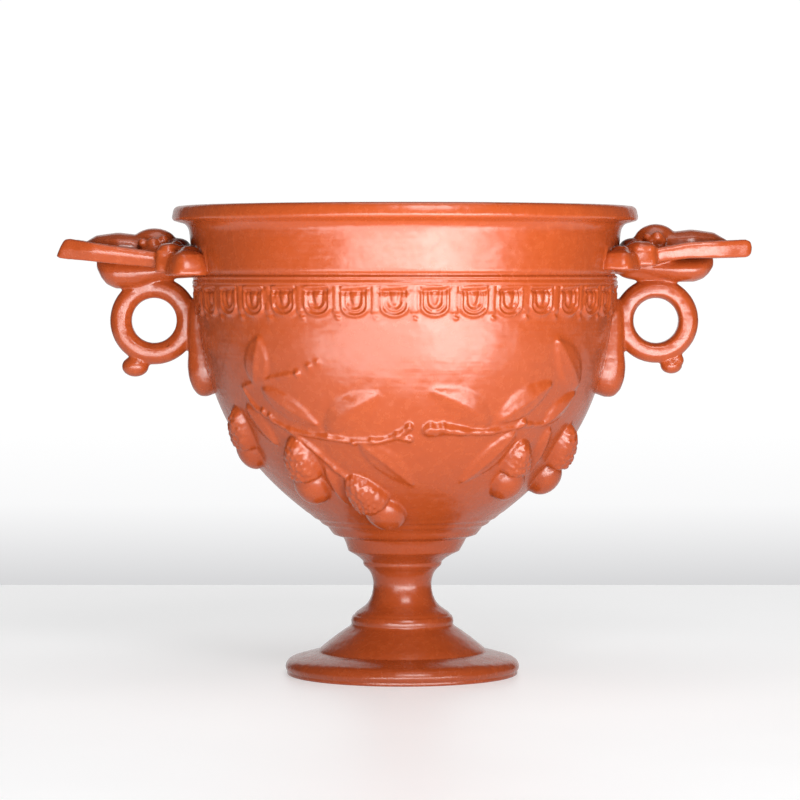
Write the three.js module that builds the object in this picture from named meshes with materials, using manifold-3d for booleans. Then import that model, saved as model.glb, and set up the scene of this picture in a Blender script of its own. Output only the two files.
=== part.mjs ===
// Stemmed two-handled cup in red-gloss pottery, with a moulded relief of leaves and acorns.
// Millimetres, +Z up. The origin is the centre of the foot, on the surface that the cup stands on.
// The handles lie along X, and the middle of the front faces -Y.
import * as THREE from "three";
import { mergeVertices } from "three/addons/utils/BufferGeometryUtils.js";
import Module from "manifold-3d";

// Foot, from the ground up
const FOOT_RADIUS = 30.4;
const FOOT_EDGE_HEIGHT = 4.2;
const FOOT_SHOULDER_WIDTH = 8.6;
const FOOT_SHOULDER_HEIGHT = 3.4;
const FOOT_CONE_HEIGHT = 5.6;
const STANDING_RING_WIDTH = 4.6;
const FOOT_WALL = 4;

// Stem, with the collar below it and the ring above it
const STEM_RADIUS = 7.5;
const COLLAR_PROUD = 5.7;
const COLLAR_HEIGHT = 3.2;
const STEM_HEIGHT = 12.6;
const BEAD_PROUD = 2.5;
const BEAD_HEIGHT = 1.4;

// Two step rings between the stem and the bowl
const LOWER_STEP_WIDTH = 4.4;
const LOWER_STEP_HEIGHT = 4.6;
const UPPER_STEP_WIDTH = 4;
const UPPER_STEP_HEIGHT = 3.2;
const STEP_TAPER = 1.2;

// Bowl and its wall
const BOWL_RADIUS = 54.3;
const BOWL_HEIGHT = 61.8;
const BOWL_WALL = 3.8;
const BOWL_FLOOR = 5;

// Plain band above the bowl, neck and lip
const BAND_HEIGHT = 3.5;
const BAND_GROOVE = 0.7;
const NECK_FLARE = 1.5;
const NECK_HEIGHT = 13;
const LIP_PROUD = 4.5;
const LIP_HEIGHT = 4.5;
const LIP_EDGE = 1.6;

// Frieze of eggs below the band
const EGG_COUNT = 35;
const EGG_HEIGHT = 7.2;
const EGG_WIDTH = 6.6;
const EGG_BEVEL = 0.9;
const EGG_PROUD = 0.8;
const EGG_DROP = 1;
const EGG_FIRST_ANGLE = 7.5;

// Relief on the bowl
const LEAF_PROUD = 1.1;
const LEAF_RIB = 0.5;
const TWIG_RADIUS = 1.25;
const ACORN_RADIUS = 4.2;
const ACORN_LENGTH = 17;
const EDGE_DEPTH = 0.3;
const ROOT_DEPTH = 1.4;

// Handles: finger ring, ball, teardrop on the wall, cushion and leaf plate
const RING_RADIUS = 11.4;
const RING_HOLE_RADIUS = 5.8;
const RING_THICKNESS = 6.2;
const RING_DROP = 8.5;
const RING_SINK = 0.1;
const BALL_RADIUS = 3.15;
const BALL_ANGLE = 21;
const ARM_TURN = 0.3;
const TEARDROP_LENGTH = 26;
const TEARDROP_WIDTH = 15;
const TEARDROP_PROUD = 4.8;
const CUSHION_LENGTH = 26;
const CUSHION_WIDTH = 13;
const CUSHION_DEPTH = 6.6;
const PLATE_RISE = 5;
const PLATE_THICKNESS = 5.2;
const BLADE_REACH = 34.6;
const BLADE_WIDTH = 9;
const BLADE_SPREAD = 9;
const MIDDLE_LEAF_REACH = 28.4;
const MIDDLE_LEAF_WIDTH = 12;
const PLATE_ROOT_OUT = 4;
const PLATE_ROOT_LENGTH = 18;
const PLATE_ROOT_WIDTH = 26;
const BUD_OUT = 9.5;
const BUD_RISE = 3.6;
const BUD_WIDTH = 11.2;
const BUD_HEIGHT = 6;
const ARM_OUT = 0.2;
const ARM_DROP = 0.4;
const ARM_SPREAD = 17.5;
const ARM_DEPTH = 8.8;
const ARM_WIDTH = 14.8;
const ARM_HEIGHT = 7;
const ROLL_OUT = 6;
const ROLL_SPREAD = 12;
const ROLL_DEPTH = 6.6;
const ROLL_WIDTH = 10.8;
const ROLL_HEIGHT = 7.4;

// Fineness of the round parts
const BOWL_SEGMENTS = 36;
const FOOT_SEGMENTS = 26;
const RING_SEGMENTS = 14;
const OUTER_STEPS = 7;
const INNER_STEPS = 5;

// Heights that follow from the sizes above
const CONE_BASE_Z = FOOT_EDGE_HEIGHT + FOOT_SHOULDER_HEIGHT;
const COLLAR_Z = CONE_BASE_Z + FOOT_CONE_HEIGHT;
const STEM_Z = COLLAR_Z + COLLAR_HEIGHT;
const BEAD_Z = STEM_Z + STEM_HEIGHT;
const LOWER_STEP_Z = BEAD_Z + BEAD_HEIGHT;
const UPPER_STEP_Z = LOWER_STEP_Z + LOWER_STEP_HEIGHT;
const BOWL_Z = UPPER_STEP_Z + UPPER_STEP_HEIGHT;
const BAND_Z = BOWL_Z + BOWL_HEIGHT;
const NECK_Z = BAND_Z + BAND_HEIGHT;
const LIP_Z = NECK_Z + NECK_HEIGHT;
const TOP_Z = LIP_Z + LIP_HEIGHT;
const PLATE_Z = NECK_Z + PLATE_RISE;

// Radii that follow from the sizes above
const COLLAR_RADIUS = STEM_RADIUS + COLLAR_PROUD;
const BEAD_RADIUS = STEM_RADIUS + BEAD_PROUD;
const LOWER_STEP_RADIUS = BEAD_RADIUS + LOWER_STEP_WIDTH;
const UPPER_STEP_RADIUS = LOWER_STEP_RADIUS + STEP_TAPER + UPPER_STEP_WIDTH;
const NECK_RADIUS = BOWL_RADIUS + NECK_FLARE;
const LIP_RADIUS = NECK_RADIUS + LIP_PROUD;

const wasm = await Module();
wasm.setup();

// Turn a closed geometry into a solid that can be joined and cut
function toSolid(geometry) {
  geometry.deleteAttribute("normal");
  geometry.deleteAttribute("uv");
  const merged = mergeVertices(geometry, 1e-4);
  const index = merged.index.array;
  const corners = [];
  for (let i = 0; i < index.length; i += 3) {
    const [a, b, c] = [index[i], index[i + 1], index[i + 2]];
    if (a !== b && b !== c && c !== a) corners.push(a, b, c);
  }
  return new wasm.Manifold(new wasm.Mesh({
    numProp: 3,
    vertProperties: new Float32Array(merged.attributes.position.array),
    triVerts: new Uint32Array(corners),
  }));
}

// Make a solid from points and triangle corners, and turn its faces out where they face in
function closedBody(points, corners) {
  const normal = new THREE.Vector3();
  let volume = 0;
  for (let i = 0; i < corners.length; i += 3) {
    const [a, b, c] = [points[corners[i]], points[corners[i + 1]], points[corners[i + 2]]];
    volume += a.dot(normal.crossVectors(b, c));
  }
  const facingOut = volume < 0 ? [...corners].reverse() : corners;
  const geometry = new THREE.BufferGeometry().setFromPoints(points);
  geometry.setIndex(facingOut);
  return toSolid(geometry);
}

// Turn a profile of radius and height round the Z axis
function turned(points, segments) {
  return new THREE.LatheGeometry(points, segments).rotateX(Math.PI / 2);
}

// Join rings of equal point count into one closed body. The two end rings are filled flat.
function loft(rings) {
  const sides = rings[0].length;
  const lastRing = (rings.length - 1) * sides;
  const corners = [];
  for (let side = 0; side < sides; side++) {
    const next = (side + 1) % sides;
    for (let near = 0; near < lastRing; near += sides) {
      const far = near + sides;
      corners.push(near + side, near + next, far + next, near + side, far + next, far + side);
    }
  }
  for (let side = 1; side < sides - 1; side++) {
    corners.push(0, side + 1, side, lastRing, lastRing + side, lastRing + side + 1);
  }
  return closedBody(rings.flat(), corners);
}

// A closed section of a given half width and half depth, with evenly turned corners
function oval(halfWidth, halfDepth, sides, turn = 0) {
  const section = [];
  for (let side = 0; side < sides; side++) {
    const angle = turn + (side / sides) * 2 * Math.PI;
    section.push([halfWidth * Math.cos(angle), halfDepth * Math.sin(angle)]);
  }
  return section;
}

// The bowl's outer curve, from the upper step ring to the band
const bowlCurve = new THREE.CubicBezierCurve(
  new THREE.Vector2(UPPER_STEP_RADIUS + 0.4, BOWL_Z),
  new THREE.Vector2(UPPER_STEP_RADIUS + 0.4 + 0.45 * BOWL_RADIUS, BOWL_Z + 0.26 * BOWL_HEIGHT),
  new THREE.Vector2(BOWL_RADIUS * 0.975, BOWL_Z + 0.56 * BOWL_HEIGHT),
  new THREE.Vector2(BOWL_RADIUS, BAND_Z),
);

// Curve parameter at a share of the bowl's height, found by halving
function bowlParameter(share) {
  const height = BOWL_Z + share * BOWL_HEIGHT;
  let low = 0;
  let high = 1;
  for (let step = 0; step < 24; step++) {
    const middle = (low + high) / 2;
    if (bowlCurve.getPoint(middle).y < height) low = middle;
    else high = middle;
  }
  return (low + high) / 2;
}

// Point on the bowl: angle in degrees from the front, positive towards +X, share of the bowl's
// height in percent, and height over the wall in mm, with the wall's outward direction
function onBowl(angle, percent, lift = 0) {
  const parameter = bowlParameter(percent / 100);
  const point = bowlCurve.getPoint(parameter);
  const along = bowlCurve.getTangent(parameter);
  const radius = point.x + lift * along.y;
  const radians = THREE.MathUtils.degToRad(angle);
  const across = new THREE.Vector3(Math.sin(radians), -Math.cos(radians), 0);
  const position = across.clone().multiplyScalar(radius);
  position.z = point.y - lift * along.x;
  const outward = across.multiplyScalar(along.y);
  outward.z = -along.x;
  return { position, outward };
}

// Foot, collar, stem, bead and both step rings, turned as one. Its top is sunk in the bowl's floor.
function footAndStem() {
  const shoulderRadius = FOOT_RADIUS - FOOT_SHOULDER_WIDTH;
  const standingRadius = FOOT_RADIUS - STANDING_RING_WIDTH;
  const stepRadius = LOWER_STEP_RADIUS + STEP_TAPER;
  const profile = new THREE.Path();
  profile.moveTo(0, COLLAR_Z - FOOT_WALL);
  profile.lineTo(shoulderRadius, CONE_BASE_Z - FOOT_WALL);
  profile.lineTo(standingRadius, 0);
  profile.lineTo(FOOT_RADIUS - 0.4, 0);
  profile.lineTo(FOOT_RADIUS, 0.5 * FOOT_EDGE_HEIGHT);
  profile.lineTo(FOOT_RADIUS - 0.7, FOOT_EDGE_HEIGHT);
  profile.quadraticCurveTo(FOOT_RADIUS - 2, CONE_BASE_Z - 0.9, shoulderRadius, CONE_BASE_Z - 0.4);
  profile.lineTo(shoulderRadius - 0.4, CONE_BASE_Z);
  profile.quadraticCurveTo(COLLAR_RADIUS + 2.6, CONE_BASE_Z + 2.2, COLLAR_RADIUS, COLLAR_Z);
  profile.lineTo(COLLAR_RADIUS - 0.6, STEM_Z - 0.5);
  profile.lineTo(COLLAR_RADIUS - 1.4, STEM_Z);
  profile.quadraticCurveTo(STEM_RADIUS + 0.3, STEM_Z + 1.8, STEM_RADIUS, STEM_Z + 0.55 * STEM_HEIGHT);
  profile.quadraticCurveTo(STEM_RADIUS, BEAD_Z - 2.4, BEAD_RADIUS, BEAD_Z + 0.4);
  profile.lineTo(BEAD_RADIUS, LOWER_STEP_Z - 0.2);
  profile.quadraticCurveTo(BEAD_RADIUS + 1.2, LOWER_STEP_Z + 1.2, LOWER_STEP_RADIUS, LOWER_STEP_Z + 1.6);
  profile.lineTo(stepRadius, UPPER_STEP_Z - 0.6);
  profile.lineTo(stepRadius - 0.4, UPPER_STEP_Z + 0.8);
  profile.lineTo(0, UPPER_STEP_Z + 0.8);
  return toSolid(turned(profile.getPoints(2), FOOT_SEGMENTS));
}

// Outside of the bowl, band, neck and lip, turned as one and still full
function bowl() {
  const stepRadius = LOWER_STEP_RADIUS + STEP_TAPER;
  const base = new THREE.Path();
  base.moveTo(0, UPPER_STEP_Z);
  base.lineTo(stepRadius + 0.2, UPPER_STEP_Z);
  base.lineTo(UPPER_STEP_RADIUS - STEP_TAPER, UPPER_STEP_Z + 0.6);
  base.lineTo(UPPER_STEP_RADIUS, BOWL_Z - 0.2);
  const upper = new THREE.Path();
  upper.moveTo(BOWL_RADIUS, BAND_Z);
  upper.lineTo(BOWL_RADIUS - BAND_GROOVE, BAND_Z + 0.6);
  upper.lineTo(BOWL_RADIUS, BAND_Z + 1.2);
  upper.lineTo(BOWL_RADIUS, NECK_Z);
  upper.lineTo(BOWL_RADIUS - BAND_GROOVE, NECK_Z + 0.6);
  upper.lineTo(BOWL_RADIUS + 0.5, NECK_Z + 1.2);
  upper.lineTo(NECK_RADIUS, LIP_Z - 1);
  upper.lineTo(NECK_RADIUS + 0.8, LIP_Z);
  upper.lineTo(LIP_RADIUS - 1, LIP_Z + 1.2);
  upper.lineTo(LIP_RADIUS, LIP_Z + 0.5 * LIP_HEIGHT);
  upper.lineTo(LIP_RADIUS - 1, TOP_Z);
  upper.lineTo(0, TOP_Z);
  const points = [...base.getPoints(), ...bowlCurve.getPoints(OUTER_STEPS), ...upper.getPoints().slice(1)];
  return toSolid(turned(points, BOWL_SEGMENTS));
}

// What the cup holds: everything inside the wall, up past the lip, which it leaves rounded
function hollow() {
  const floorZ = UPPER_STEP_Z + BOWL_FLOOR;
  const points = [new THREE.Vector2(0, floorZ)];
  for (let step = 0; step <= INNER_STEPS; step++) {
    const parameter = step / INNER_STEPS;
    const point = bowlCurve.getPoint(parameter);
    const along = bowlCurve.getTangent(parameter);
    const height = point.y + BOWL_WALL * along.x;
    points.push(new THREE.Vector2(point.x - BOWL_WALL * along.y, Math.max(height, floorZ + 0.6)));
  }
  const mouthRadius = NECK_RADIUS - BOWL_WALL;
  points.push(new THREE.Vector2(mouthRadius, LIP_Z - 1));
  points.push(new THREE.Vector2(mouthRadius + 0.5 * LIP_PROUD, TOP_Z - 1));
  points.push(new THREE.Vector2(LIP_RADIUS - 1 - LIP_EDGE, TOP_Z));
  points.push(new THREE.Vector2(LIP_RADIUS - 1 - LIP_EDGE, TOP_Z + 1));
  points.push(new THREE.Vector2(0, TOP_Z + 1));
  return toSolid(turned(points, BOWL_SEGMENTS));
}

// One egg of the frieze: a tongue with a rounded lower end and bevelled edges
function egg(angle) {
  const degreesPerMm = 180 / (Math.PI * BOWL_RADIUS);
  const percentPerMm = 100 / BOWL_HEIGHT;
  const outline = (inset, lift) => {
    const half = 0.5 * EGG_WIDTH - inset;
    const low = EGG_HEIGHT - inset;
    const around = [[half, inset], [half, 0.6 * low], [0, low], [-half, 0.6 * low], [-half, inset]];
    return around.map(([across, down]) => {
      const percent = 100 - (EGG_DROP + down) * percentPerMm;
      return onBowl(angle + across * degreesPerMm, percent, lift).position;
    });
  };
  return loft([outline(0, -ROOT_DEPTH), outline(EGG_BEVEL, EGG_PROUD)]);
}

// Rings for a body that lies on the bowl along a route of [angle, percent] places.
// section(share, index) gives [across, up] corners for a share of the route's length.
function ringsOnBowl(route, stations, lift, section) {
  const path = new THREE.SplineCurve(route.map(([angle, percent]) => new THREE.Vector2(angle, percent)));
  const rings = [];
  for (let i = 0; i <= stations; i++) {
    const share = i / stations;
    const here = path.getPoint(share);
    const ahead = path.getPoint(Math.min(1, share + 0.01));
    const behind = path.getPoint(Math.max(0, share - 0.01));
    const { position, outward } = onBowl(here.x, here.y, lift);
    const along = onBowl(ahead.x, ahead.y).position.sub(onBowl(behind.x, behind.y).position).normalize();
    const side = new THREE.Vector3().crossVectors(along, outward).normalize();
    rings.push(section(share, i).map(([across, up]) => position.clone()
      .addScaledVector(side, across)
      .addScaledVector(outward, up)));
  }
  return rings;
}

// A leaf with a raised middle rib, from its base to its tip
function leaf([fromAngle, fromPercent, toAngle, toPercent, width]) {
  const route = [[fromAngle, fromPercent], [toAngle, toPercent]];
  const section = (share) => {
    const half = Math.max(0.35, (width / 2) * Math.sin(Math.PI * share ** 0.85));
    const top = LEAF_PROUD * (0.6 + 0.4 * Math.sin(Math.PI * share));
    return [[-half, -EDGE_DEPTH], [0, top + LEAF_RIB], [half, -EDGE_DEPTH], [0, -ROOT_DEPTH]];
  };
  return loft(ringsOnBowl(route, 3, 0, section));
}

// A twig that thins towards its end
function twig(route) {
  const section = (share) => {
    const radius = TWIG_RADIUS * (1.15 - 0.5 * share);
    return oval(radius, radius, 3, Math.PI / 2);
  };
  return loft(ringsOnBowl(route, route.length - 1, 0.3, section));
}

// An acorn half sunk in the wall: a rough cup, then the smooth nut with its point
function acorn([fromAngle, fromPercent, toAngle, toPercent]) {
  const start = onBowl(fromAngle, fromPercent);
  const end = onBowl(toAngle, toPercent);
  const reach = end.position.clone().sub(start.position);
  const outward = start.outward.clone().add(end.outward).normalize();
  const middle = start.position.clone().add(end.position).multiplyScalar(0.5);
  const across = new THREE.Vector3().crossVectors(reach, outward).normalize();
  const along = new THREE.Vector3().crossVectors(outward, across).normalize();
  const outline = [[0, 0.5], [0.2, 1], [0.42, 1], [0.46, 0.84], [1, 0.2]];
  const rings = outline.map(([share, size]) => oval(size * ACORN_RADIUS, size * ACORN_RADIUS, 6)
    .map(([side, up]) => middle.clone()
      .addScaledVector(along, (share - 0.5) * ACORN_LENGTH)
      .addScaledVector(across, side)
      .addScaledVector(outward, up)));
  return loft(rings);
}

// Relief of one half of the bowl, in degrees from the half's middle and percent of the bowl's height.
// Two branches start at cut ends near the middle and spread to the handles.
const TWIGS = [
  [[2, 43], [-10, 40], [-25, 41], [-39, 43], [-47, 49], [-54, 60]],
  [[-38.4, 42.2], [-31, 33], [-21, 23]],
  [[8, 44], [17, 43.5], [26, 42.5], [38, 45], [47, 45], [58, 52]],
];
const LEAVES = [
  [-14, 40, 5, 20, 6.4],
  [-26, 42, -8, 59, 6.4],
  [-46, 60, -28, 46, 6],
  [-48, 61, -43, 81, 8.4],
  [28, 44, 8, 61, 6.6],
  [30, 47, 48, 63, 6.4],
  [37, 44, 23, 24, 6.4],
  [60, 59, 44, 80, 8.4],
];
const ACORNS = [
  [-21, 24, -5, 5],
  [-37, 38, -41, 13],
  [-66, 46, -76, 20],
  [41, 40, 45, 16],
  [63, 42, 75, 17],
];

// Smaller growth between them, on the front half alone
const FRONT_TWIGS = [
  [[-53, 59], [-45, 63.5], [-32, 66]],
];
const FRONT_LEAVES = [
  [-30, 29, -28, 12, 4.2],
  [-55, 53, -47, 36, 5.4],
  [52, 44, 55, 24, 4.6],
  [48, 45, 59, 58, 5.6],
];

// Finger ring, standing in the XZ plane: rounded outer band, flat faces and a chamfered hole
function fingerRing(centre) {
  const half = RING_THICKNESS / 2;
  const chamfer = (RING_RADIUS - RING_HOLE_RADIUS) * 0.36;
  const face = RING_RADIUS - (RING_RADIUS - RING_HOLE_RADIUS) * 0.32;
  const profile = [[RING_HOLE_RADIUS, 0], [RING_HOLE_RADIUS + chamfer, -half], [face, -half],
    [RING_RADIUS, 0], [face, half], [RING_HOLE_RADIUS + chamfer, half]];
  profile.push(profile[0]);
  const points = profile.map(([radius, height]) => new THREE.Vector2(radius, height));
  const geometry = new THREE.LatheGeometry(points, RING_SEGMENTS);
  return toSolid(geometry.translate(centre.x, centre.y, centre.z));
}

// A rounded lump with its own sizes along X, Y and Z, and turn about the upright
function lump(centre, size, turn = 0, columns = 6, rows = 4) {
  const geometry = new THREE.SphereGeometry(1, columns, rows);
  geometry.scale(size[0] / 2, size[1] / 2, size[2] / 2).rotateZ(turn);
  return toSolid(geometry.translate(centre[0], centre[1], centre[2]));
}

// Rings square to X for a body that runs outwards. Each station is
// [out, side, up, half width, half height], and roll leans the section over.
function outwardBody(stations, sides, roll = 0) {
  const rings = stations.map(([out, side, up, halfWidth, halfHeight]) =>
    oval(halfWidth, halfHeight, sides, Math.PI / sides).map(([across, rise]) => new THREE.Vector3(
      out,
      side + across * Math.cos(roll) - rise * Math.sin(roll),
      up + across * Math.sin(roll) + rise * Math.cos(roll),
    )));
  return loft(rings);
}

// Plump cushion below the leaf plate: narrow at the neck, thick and round at its outer end
function cushion() {
  const top = PLATE_Z - 2;
  const sizes = [[0, 0.5], [0.25, 0.58], [0.6, 0.96], [0.85, 0.92], [1, 0.35]];
  const stations = sizes.map(([share, size]) => [NECK_RADIUS - 2 + share * CUSHION_LENGTH, 0,
    top - 0.5 * CUSHION_DEPTH * size + 0.6, 0.5 * CUSHION_WIDTH * size, 0.5 * CUSHION_DEPTH * size + 0.6]);
  return outwardBody(stations, 6);
}

// One long outer leaf of the plate, with its outer edge leaning down
function blade(side) {
  const sizes = [[0.12, 0.7], [0.4, 1], [0.85, 0.92], [1, 0.5]];
  const stations = sizes.map(([share, size]) => [NECK_RADIUS + share * BLADE_REACH,
    side * BLADE_SPREAD, PLATE_Z - 0.4 + 2.2 * share, 0.5 * BLADE_WIDTH * size,
    0.5 * PLATE_THICKNESS * (0.5 + 0.4 * size)]);
  return outwardBody(stations, 6, -side * 0.28);
}

// Arched middle leaf on top of the plate
function middleLeaf() {
  const sizes = [[0.35, 0.7, 0], [0.65, 1, 0.9], [0.9, 0.65, 0], [1, 0.25, -0.9]];
  const stations = sizes.map(([share, size, rise]) => [NECK_RADIUS + share * MIDDLE_LEAF_REACH, 0,
    PLATE_Z + 3.4 + rise, 0.5 * MIDDLE_LEAF_WIDTH * size, 0.8 + 1.4 * size]);
  return outwardBody(stations, 6);
}

// Teardrop on the wall, where the ring's foot meets it, drawn at the angle of the +X handle
function teardrop() {
  const percentPerMm = 100 / BOWL_HEIGHT;
  const route = [[90, 98], [90, 98 - TEARDROP_LENGTH * percentPerMm]];
  const sizes = [0.45, 0.6, 0.9, 1, 0.7, 0.2];
  const section = (share, i) => oval(0.5 * TEARDROP_WIDTH * sizes[i], TEARDROP_PROUD * sizes[i] ** 0.7, 6);
  return loft(ringsOnBowl(route, sizes.length - 1, -0.4, section));
}

// The handle at +X
function handle() {
  const ringZ = BAND_Z - RING_DROP;
  const ringShare = (ringZ - BOWL_Z) / BOWL_HEIGHT;
  const wallRadius = bowlCurve.getPoint(bowlParameter(ringShare)).x;
  const ringCentre = new THREE.Vector3(wallRadius + RING_RADIUS - RING_SINK, 0, ringZ);
  const ballAngle = THREE.MathUtils.degToRad(BALL_ANGLE);
  const ballReach = RING_RADIUS + BALL_RADIUS * 0.35;
  const ballCentre = [ringCentre.x + ballReach * Math.sin(ballAngle), 0,
    ringCentre.z - ballReach * Math.cos(ballAngle)];
  const bodies = [
    fingerRing(ringCentre),
    lump(ballCentre, [2 * BALL_RADIUS, 2 * BALL_RADIUS, 2 * BALL_RADIUS]),
    teardrop(),
    cushion(),
    middleLeaf(),
    lump([NECK_RADIUS + PLATE_ROOT_OUT, 0, PLATE_Z], [PLATE_ROOT_LENGTH, PLATE_ROOT_WIDTH, PLATE_THICKNESS], 0, 8),
    lump([NECK_RADIUS + BUD_OUT, 0, PLATE_Z + BUD_RISE], [BUD_WIDTH, BUD_WIDTH, BUD_HEIGHT]),
  ];
  for (const side of [-1, 1]) {
    bodies.push(blade(side));
    bodies.push(lump([NECK_RADIUS + ARM_OUT, side * ARM_SPREAD, PLATE_Z - ARM_DROP],
      [ARM_DEPTH, ARM_WIDTH, ARM_HEIGHT], side * ARM_TURN));
    bodies.push(lump([NECK_RADIUS + ROLL_OUT, side * ROLL_SPREAD, PLATE_Z], [ROLL_DEPTH, ROLL_WIDTH, ROLL_HEIGHT]));
  }
  return bodies;
}

// Join everything into the one fired body, and clear the hollow last, so that no root stands in it
function cup() {
  let body = bowl().add(footAndStem());
  for (let i = 0; i < EGG_COUNT; i++) {
    body = body.add(egg(EGG_FIRST_ANGLE + (i * 360) / EGG_COUNT));
  }
  for (const half of [0, 180]) {
    const leaves = half === 0 ? [...LEAVES, ...FRONT_LEAVES] : LEAVES;
    const twigs = half === 0 ? [...TWIGS, ...FRONT_TWIGS] : TWIGS;
    const bodies = [...leaves.map(leaf), ...twigs.map(twig), ...ACORNS.map(acorn), ...handle()];
    for (const piece of bodies) body = body.add(piece.rotate([0, 0, half]));
  }
  const mesh = body.subtract(hollow()).getMesh();
  const geometry = new THREE.BufferGeometry();
  geometry.setAttribute("position", new THREE.BufferAttribute(new Float32Array(mesh.vertProperties), 3));
  geometry.setIndex(new THREE.BufferAttribute(new Uint32Array(mesh.triVerts), 1));
  geometry.computeVertexNormals();
  return geometry;
}

const slip = new THREE.MeshStandardMaterial({ color: 0xc4512b, roughness: 0.38, metalness: 0 });
const cupMesh = new THREE.Mesh(cup(), slip);
cupMesh.name = "cup";

const model = new THREE.Group();
model.add(cupMesh);

export default model;
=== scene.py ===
import math

import bpy
import numpy as np
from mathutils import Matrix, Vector


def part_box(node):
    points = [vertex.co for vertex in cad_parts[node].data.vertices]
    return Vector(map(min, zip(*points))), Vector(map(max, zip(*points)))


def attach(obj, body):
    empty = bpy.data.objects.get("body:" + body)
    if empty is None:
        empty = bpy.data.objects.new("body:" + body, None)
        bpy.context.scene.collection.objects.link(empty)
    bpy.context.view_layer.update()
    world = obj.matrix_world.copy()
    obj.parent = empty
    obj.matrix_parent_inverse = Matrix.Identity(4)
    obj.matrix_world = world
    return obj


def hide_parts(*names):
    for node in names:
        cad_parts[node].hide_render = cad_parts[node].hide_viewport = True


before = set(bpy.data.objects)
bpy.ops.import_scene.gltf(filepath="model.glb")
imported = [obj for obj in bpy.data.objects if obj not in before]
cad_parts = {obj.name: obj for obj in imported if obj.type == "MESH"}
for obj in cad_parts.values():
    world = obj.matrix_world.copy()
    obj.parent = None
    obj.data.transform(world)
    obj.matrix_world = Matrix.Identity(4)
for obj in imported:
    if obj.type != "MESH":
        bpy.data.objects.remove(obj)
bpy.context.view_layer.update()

# Turned form. Its foot and stem sit up to 1.3 mm lower than the solid's, and a little to the left
FOOT_RADIUS = 30.4
STANDING_RING_WIDTH = 4.6
FOOT_OFFSET = -0.7
FOOT_WALL = 4.0
SHOULDER_RADIUS = 21.8
CONE_BASE_Z = 6.3
COLLAR_RADIUS = 13.2
COLLAR_Z = 12.9
STEM_RADIUS = 7.5
STEM_Z = 15.7
BEAD_RADIUS = 10.0
BEAD_Z = 28.2
LOWER_STEP_RADIUS = 14.4
LOWER_STEP_Z = 30.1
UPPER_STEP_RADIUS = 19.6
UPPER_STEP_Z = 35.0
BOWL_RADIUS = 54.3
BOWL_Z = 38.2
BOWL_HEIGHT = 61.8
BOWL_WALL = 3.8
BOWL_FLOOR = 5.0
BAND_Z = BOWL_Z + BOWL_HEIGHT
NECK_Z = 103.5
NECK_RADIUS = 55.8
LIP_Z = 116.5
LIP_RADIUS = 60.3
TOP_Z = 121.0
PLATE_Z = 108.5

# Handles: ring, cushion, blades, middle leaf and the drop on the wall
RING_RADIUS = 11.4
RING_HOLE_RADIUS = 5.8
RING_THICKNESS = 6.2
RING_CENTRE_X = 65.0
RING_CENTRE_Z = 91.5
CUSHION_LENGTH = 26.0
CUSHION_WIDTH = 13.0
BLADE_SPREAD = 9.0
BLADE_HALF_WIDTH = 4.8
BLADE_STOPS = (0, 0.27, 0.5, 1)
MIDDLE_LEAF_REACH = 28.4
MIDDLE_LEAF_HALF_WIDTH = 6.2
DROP_TOP_Z = 97.2
DROP_LOW_Z = 72.6
DROP_HALF_WIDTH = 6.6
DROP_ROOT = 1.6
ARM_TURN = 0.32
PAD_TURN = 0.3
ROLL_TURN = -0.12

# Relief: eggs of the frieze, twigs, veins of the leaves and scales of the acorns
EGG_COUNT = 35
FIRST_EGG_ANGLE = 7.5
FRIEZE_HEIGHT = 10
OUTER_BORDER = dict(half_width=3.2, straight=4.9, drop=2.3)
INNER_BORDER = dict(half_width=2.1, straight=4.0, drop=1.9)
EGG_LENGTH = 4.9
TONGUE_X = 4.87
TWIG_SWELL = 1.2
TWIG_LUMPS = 0.1
VEIN_SPACING = 2.3
VEIN_HEIGHT = 0.05
SCALE_SPACING = 1.45
SCALE_RADIUS = 0.9
SCALE_HEIGHT = 0.6
OUT_OF_REACH = 9.0

# Fineness of the mesh, and how far it may lie from the true relief
FINE_COLUMNS = 1152
RELIEF_ROWS = 256
BLOCK_SIZES = (8, 4, 2)
FLATNESS = 0.06
BACK_FLATNESS = 0.15
BACK_SHARE = 0.22
WIDE_COLUMNS = 144
NARROW_COLUMNS = 72
WIDE_FROM_RADIUS = 21
FOOT_ROUNDING = 0.17
LIP_ROUNDING = 0.2
LUMP_SIDES = 24
LUMP_STATIONS = 14
HANDLE_VOXEL = 0.36
HANDLE_TRIANGLES = 14000

random = np.random.default_rng(7)
lowest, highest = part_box("cup")
MM = (highest.z - lowest.z) / TOP_Z


# Curves and small helpers

def full_turn(count):
    return np.linspace(0, 2 * math.pi, count, endpoint=False)


def signed_power(value, power):
    return np.sign(value) * np.abs(value) ** power


def smooth_step(low, high, value):
    share = np.clip((value - low) / (high - low), 0, 1)
    return share * share * (3 - 2 * share)


def hump(value, width):
    return np.exp(-(value / width) ** 2)


def line(start, end, step=0.1):
    count = max(2, int(math.dist(start, end) / step))
    share = np.linspace(0, 1, count)[:, None]
    return np.array(start) * (1 - share) + np.array(end) * share


def bend(start, control, end, step=0.1):
    """Quadratic curve from start to end, drawn towards control."""
    count = max(3, int(math.dist(start, end) / step * 1.3))
    t = np.linspace(0, 1, count)[:, None]
    start, control, end = np.array(start), np.array(control), np.array(end)
    return start * (1 - t) ** 2 + control * 2 * t * (1 - t) + end * t ** 2


def chain(start, *moves):
    """Outline from start. A move is [end] for a straight line, or [control, end] for a curve."""
    parts = []
    for move in moves:
        draw = bend if len(move) == 2 else line
        parts.append(draw(start, *move))
        start = move[-1]
    return np.vstack(parts)


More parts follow.
